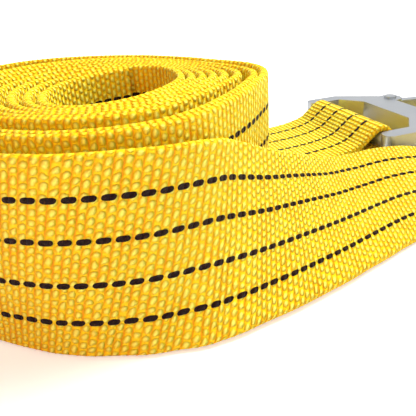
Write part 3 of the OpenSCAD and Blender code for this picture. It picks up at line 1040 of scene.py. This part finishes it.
@dataclass
class PawlSpring:
    """A compression spring with closed ends, built between its pawl and its seat."""

    node: str
    body: Body
    joint: str
    pushed: Vector
    seated: Vector
    travel: float
    turns: float
    coil: float = 0.0034
    wire: float = 0.001
    closed_turns: float = 1.0
    per_turn: int = 24
    sides: int = 12

    def along(self, turn: float) -> float:
        """Return how far the wire has climbed after some turns.

        Args:
            turn: Turns from the pawl's end.

        Returns:
            Distance from the pawl's end of the spring.
        """
        length = (self.seated - self.pushed).length
        first, last = self.closed_turns, self.turns - self.closed_turns
        open_rise = length - self.wire * (1 + 2 * self.closed_turns)
        climbed = self.wire * (min(turn, first) + max(turn - last, 0.0))
        return self.wire / 2 + climbed + open_rise * clamp((turn - first) / (last - first))

    def build(self, material: Material) -> None:
        """Build the spring.

        Args:
            material: The spring's material.
        """
        ahead = (self.seated - self.pushed).normalized()
        side = ahead.orthogonal().normalized()
        other = ahead.cross(side)
        corners = [2 * math.pi * k / self.sides for k in range(self.sides)]
        rings = []
        for i in range(round(self.turns * self.per_turn) + 1):
            angle = 2 * math.pi * i / self.per_turn
            out = side * math.cos(angle) + other * math.sin(angle)
            middle = self.pushed + ahead * self.along(i / self.per_turn) + out * (self.coil / 2)
            rings.append([middle + (out * math.cos(q) + ahead * math.sin(q)) * self.wire / 2
                          for q in corners])
        name = self.node + "_coil"
        obj = add_object(name, swept_mesh(name, rings, material))
        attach(obj, self.body.value)
        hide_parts(self.node)
        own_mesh(obj)


@dataclass
class PawlSprings:
    """The four springs that push the drive pawl and the lock pawl towards the wheels."""

    spool: Vector
    # Both ends of each spring from the spool's axis, and its distance from the middle plane
    drive_range: Pair = (0.03465, 0.04685)
    drive_offset: float = 0.022
    drive_travel: float = 0.0045
    drive_turns: float = 6.5
    lock_range: Pair = (0.03555, 0.04345)
    lock_offset: float = 0.009
    lock_travel: float = 0.003
    lock_turns: float = 4.5
    lock_angle: float = 205.0

    def build(self, material: Material) -> None:
        """Build the springs.

        Args:
            material: The springs' material.
        """
        turned = math.radians(self.lock_angle)
        lock_way = Vector((math.cos(turned), 0, math.sin(turned)))
        for side, word in ((1, "left"), (-1, "right")):
            for kind, body, way, reach, offset, travel, turns in (
                    ("drive", Body.HANDLE, Vector((1, 0, 0)), self.drive_range,
                     self.drive_offset, self.drive_travel, self.drive_turns),
                    ("lock", Body.BASE, lock_way, self.lock_range,
                     self.lock_offset, self.lock_travel, self.lock_turns)):
                middle = self.spool + Vector((0, side * offset, 0))
                PawlSpring(f"{kind}_spring_{word}", body, f"{kind}_pawl_slide",
                           middle + way * reach[0], middle + way * reach[1],
                           travel, turns).build(material)


# ---- sewing


@dataclass
class Stitching:
    """Box-and-cross seam of thick thread, laid stitch by stitch by Geometry Nodes."""

    name: str
    middle: Vector
    length: float
    width: float
    rows: int = 2
    row_gap: float = 0.0022
    inset: float = 0.004
    pitch: float = 0.0027
    stitch: float = 0.0021
    thread: float = 0.00045
    unevenness: Pair = (0.88, 1.08)
    sides: int = 8
    rings: int = 6
    seed: int = 7

    def seam(self) -> bpy.types.Object:
        """Draw the seam's lines on the webbing's surface.

        Returns:
            An object with one edge for each line.
        """
        points, edges = [], []
        for row in range(self.rows):
            off = self.inset + row * self.row_gap
            hx, hy = self.length / 2 - off, self.width / 2 - off
            corners = [Vector((sx * hx, sy * hy, 0)) for sx, sy in
                       ((-1, -1), (1, -1), (1, 1), (-1, 1))]
            base = len(points)
            points += [self.middle + c for c in corners]
            edges += [(base + i, base + (i + 1) % 4) for i in range(4)]
        hx, hy = (side / 2 - self.inset - self.rows * self.row_gap
                  for side in (self.length, self.width))
        for slope in (1, -1):
            base = len(points)
            points += [self.middle + Vector((-hx, -slope * hy, 0)),
                       self.middle + Vector((hx, slope * hy, 0))]
            edges.append((base, base + 1))
        mesh = bpy.data.meshes.new(self.name + "_seam")
        mesh.from_pydata(points, edges, [])
        return add_object(self.name + "_seam", mesh)

    def nodes(self, material: Material) -> bpy.types.NodeTree:
        """Build the node group that lays the stitches.

        Args:
            material: The thread's material.

        Returns:
            The node group.
        """
        tree = bpy.data.node_groups.new(self.name + "_stitches", "GeometryNodeTree")
        face = tree.interface
        face.new_socket("Geometry", in_out="INPUT", socket_type="NodeSocketGeometry")
        for label in ("Pitch", "Stitch length", "Thread radius"):
            face.new_socket(label, in_out="INPUT", socket_type="NodeSocketFloat")
        face.new_socket("Seed", in_out="INPUT", socket_type="NodeSocketInt")
        face.new_socket("Geometry", in_out="OUTPUT", socket_type="NodeSocketGeometry")
        graph = NodeGraph(tree)
        given = graph.add("NodeGroupInput").outputs
        curve = graph.add("GeometryNodeMeshToCurve", {0: given["Geometry"]})
        spaced = graph.add("GeometryNodeResampleCurve", mode="LENGTH")
        graph.feed(spaced.inputs["Curve"], curve.outputs[0])
        graph.feed(spaced.inputs["Length"], given["Pitch"])
        ball = graph.add("GeometryNodeMeshUVSphere", {
            "Segments": self.sides, "Rings": self.rings, "Radius": 1.0})
        half = graph.add("ShaderNodeMath", {0: given["Stitch length"], 1: 0.5},
                         operation="MULTIPLY")
        thread = given["Thread radius"]
        size = graph.add("ShaderNodeCombineXYZ", {0: half.outputs[0], 1: thread, 2: thread})
        shape = graph.add("GeometryNodeTransform",
                          {"Geometry": ball.outputs["Mesh"], "Scale": size.outputs[0]})
        tangent = graph.add("GeometryNodeInputTangent")
        turn = graph.add("FunctionNodeAlignRotationToVector", {"Vector": tangent.outputs[0]},
                         axis="X")
        vary = graph.add("FunctionNodeRandomValue", {"Seed": given["Seed"]}, data_type="FLOAT")
        floats = [socket for socket in vary.inputs if socket.type == "VALUE"]
        floats[0].default_value, floats[1].default_value = self.unevenness
        lay = graph.add("GeometryNodeInstanceOnPoints", {
            "Points": spaced.outputs[0], "Instance": shape.outputs[0],
            "Rotation": turn.outputs[0],
            "Scale": next(o for o in vary.outputs if o.type == "VALUE")})
        real = graph.add("GeometryNodeRealizeInstances", {0: lay.outputs[0]})
        dress = graph.add("GeometryNodeSetMaterial",
                          {"Geometry": real.outputs[0], "Material": material})
        graph.add("NodeGroupOutput", {0: dress.outputs[0]})
        return tree

    def build(self, material: Material) -> None:
        """Lay the stitches and keep them as one plain mesh.

        Args:
            material: The thread's material.
        """
        guide = self.seam()
        modifier = guide.modifiers.new("stitches", "NODES")
        modifier.node_group = self.nodes(material)
        wanted = {"Pitch": self.pitch, "Stitch length": self.stitch,
                  "Thread radius": self.thread, "Seed": self.seed}
        for item in modifier.node_group.interface.items_tree:
            if item.in_out == "INPUT" and item.name in wanted:
                modifier[item.identifier] = wanted[item.name]
        depsgraph = bpy.context.evaluated_depsgraph_get()
        mesh = bpy.data.meshes.new_from_object(guide.evaluated_get(depsgraph))
        bpy.data.objects.remove(guide)
        mesh.name = self.name
        mesh.polygons.foreach_set("use_smooth", [True] * len(mesh.polygons))
        obj = add_object(self.name, mesh)
        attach(obj, Body.BASE.value)
        LOG.info("%s: %d faces of thread", self.name, len(mesh.polygons))


# ---- studio


@dataclass(frozen=True)
class Lamp:
    """A soft square lamp, placed relative to the point that it faces."""

    name: str
    place: Triple
    size: float
    power: float
    colour: Triple = (1.0, 1.0, 0.98)
    mirrored: bool = False

    def hang(self, aim: Vector) -> None:
        """Put the lamp into the scene.

        Args:
            aim: The point that it faces.
        """
        data = bpy.data.lights.new(self.name, "AREA")
        data.size, data.energy, data.color = self.size, self.power, self.colour
        obj = add_object(self.name, data)
        way = Vector(self.place)
        obj.location = aim + way
        obj.rotation_euler = (-way).to_track_quat("-Z", "Y").to_euler()
        obj.visible_glossy = self.mirrored


@dataclass
class Studio:
    """Plain floor, soft lamps and the camera."""

    coil_axis: Vector
    offset: Triple = (-0.0104, -0.1536, 0.08114)
    heading: float = 18.0
    pitch: float = 26.49
    roll: float = -4.09
    lens: float = 43.27
    sensor: float = 36.0
    floor_half: float = 3.0
    floor_glow: float = 0.42
    ambient: float = 0.3
    aim_height: float = 0.02
    # The metal mirrors the white surround and the front lamp only, so that it keeps its grey
    lamps: tuple[Lamp, ...] = (
        Lamp("key", (1.5, 0.75, 2.25), 2.0, 140.0),
        Lamp("front", (1.4, -1.6, 1.6), 1.0, 8.0, mirrored=True),
        Lamp("warm", (-0.8, -0.7, 0.3), 0.6, 6.5, (1.0, 0.42, 0.14)),
    )

    def camera(self) -> None:
        """Place the camera above and in front of the coil."""
        data = bpy.data.cameras.new("camera")
        data.lens, data.sensor_width = self.lens, self.sensor
        data.clip_start, data.clip_end = 0.005, 20.0
        obj = add_object("camera", data)
        turn, tip, roll = (math.radians(v) for v in (self.heading, self.pitch, self.roll))
        level_right = Vector((math.cos(turn), -math.sin(turn), 0))
        ahead = Vector((math.sin(turn), math.cos(turn), 0))
        forward = ahead * math.cos(tip) - Vector((0, 0, math.sin(tip)))
        level_up = ahead * math.sin(tip) + Vector((0, 0, math.cos(tip)))
        right = level_right * math.cos(roll) + level_up * math.sin(roll)
        up = level_up * math.cos(roll) - level_right * math.sin(roll)
        matrix = Matrix((right, up, -forward)).transposed().to_4x4()
        foot = Vector((self.coil_axis.x, self.coil_axis.y, 0))
        matrix.translation = foot + Vector(self.offset)
        obj.matrix_world = matrix
        bpy.context.scene.camera = obj

    def floor(self) -> None:
        """Lay a plain pale floor under the object."""
        mesh = bpy.data.meshes.new("floor")
        half = self.floor_half
        mesh.from_pydata([(-half, -half, 0), (half, -half, 0), (half, half, 0), (-half, half, 0)],
                         [], [(0, 1, 2, 3)])
        obj = add_object("floor", mesh)
        obj.location = (0, 0, -0.2 * MM)
        graph = ShaderGraph(bpy.data.materials.new("floor"))
        plain = graph.add("ShaderNodeBsdfDiffuse", {"Color": (0.9, 0.9, 0.9, 1.0)})
        rays = graph.add("ShaderNodeLightPath").outputs
        glow = graph.add("ShaderNodeEmission", {
            "Strength": graph.math("MULTIPLY", rays["Is Camera Ray"], self.floor_glow)})
        mesh.materials.append(graph.finish(
            graph.add("ShaderNodeAddShader", {0: plain.outputs[0], 1: glow.outputs[0]})))

    def world(self) -> None:
        """Give the scene a white surround that the camera and the metal both see."""
        world = bpy.data.worlds.new("world")
        bpy.context.scene.world = world
        graph = ShaderGraph(world, "ShaderNodeOutputWorld")
        rays = graph.add("ShaderNodeLightPath").outputs
        shiny = graph.math("ADD", rays["Is Glossy Ray"], rays["Is Transmission Ray"])
        seen = graph.math("ADD", rays["Is Camera Ray"], shiny, clamp=True)
        dim, white = (graph.add("ShaderNodeBackground", {0: (1, 1, 1, 1), 1: strength})
                      for strength in (self.ambient, 1.0))
        graph.finish(graph.add("ShaderNodeMixShader",
                               {0: seen, 1: dim.outputs[0], 2: white.outputs[0]}))

    def build(self) -> None:
        """Set up the whole studio."""
        self.camera()
        self.floor()
        self.world()
        aim = Vector((self.coil_axis.x, self.coil_axis.y, self.aim_height))
        for lamp in self.lamps:
            lamp.hang(aim)
        bpy.context.scene.view_settings.view_transform = "Standard"


def dress_parts(finishes: dict[str, Material]) -> None:
    """Give every packed rigid part the finish of its own slot.

    Args:
        finishes: Materials by the slot's name.
    """
    slots = {part["node"]: part["material_slot"] for part in frame["record"]["subparts"]}
    for node in frame["nodes"]:
        obj = bpy.data.objects[node]
        finish = finishes.get(slots[node])
        if finish is None:
            continue
        if not obj.material_slots:
            obj.data.materials.append(finish)
        for slot in obj.material_slots:
            slot.material = finish
        LOG.info("%s is %s", node, slots[node])


def metal_finishes() -> dict[str, Material]:
    """Build the finishes of the rigid parts.

    Returns:
        The materials by the slot's name.
    """
    return {
        Slot.ZINC.value: MetalFinish("zinc_plate", (0.43, 0.46, 0.50, 1),
                                     (0.53, 0.55, 0.57, 1), 0.36).build(),
        Slot.HARDENED.value: MetalFinish("hardened_steel", (0.16, 0.16, 0.17, 1),
                                         (0.25, 0.23, 0.21, 1), 0.42, 0.00005).build(),
        Slot.SPRING.value: MetalFinish("spring_steel", (0.42, 0.42, 0.44, 1),
                                       (0.52, 0.49, 0.45, 1), 0.24).build(),
        Slot.RUBBER.value: RubberFinish().build(),
    }


def main() -> None:
    """Build every piece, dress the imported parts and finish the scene."""
    lattice = Lattice()
    weave, thread = WebbingWeave(lattice).build(), ThreadFinish().build()
    low, high = (Vector(v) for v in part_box("long_strap_coil"))
    axis = Vector(((low.x + high.x) / 2, (low.y + high.y) / 2, 0))
    Studio(axis).build()
    width = high.z - low.z
    loop_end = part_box("long_strap_loop")[1][0]
    bar_a = Vector((loop_end - BAR_A_IN, node_centre("long_strap_loop").y, BAR_A_HEIGHT))
    long_strap = LongStrap(axis, width, bar_a, lattice)
    long_strap.build(weave)
    fold_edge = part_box("short_strap")[0][0]
    bolt = node_centre("bolt_sleeve")
    bar_b = Vector((fold_edge + BAR_B_IN, bolt.y, BAR_B_HEIGHT))
    short_strap = ShortStrap(bolt, bar_b, fold_edge, width, lattice)
    short_strap.build(weave)
    top = 2 * short_strap.thickness + SEAM_LIFT
    for name, x, y, length in (
            ("hook_a_sewing", bar_a.x - long_strap.loop_slope, bar_a.y, long_strap.tail_length),
            ("bolt_sewing", bolt.x - short_strap.bolt_slope, bolt.y, short_strap.bolt_tail)):
        Stitching(name, Vector((x - length / 2, y, top)), length, width).build(thread)
    finishes = metal_finishes()
    dress_parts(finishes)
    PawlSprings(joint_place("handle_swing")).build(finishes[Slot.SPRING.value])


if __name__ == "__main__":
    main()
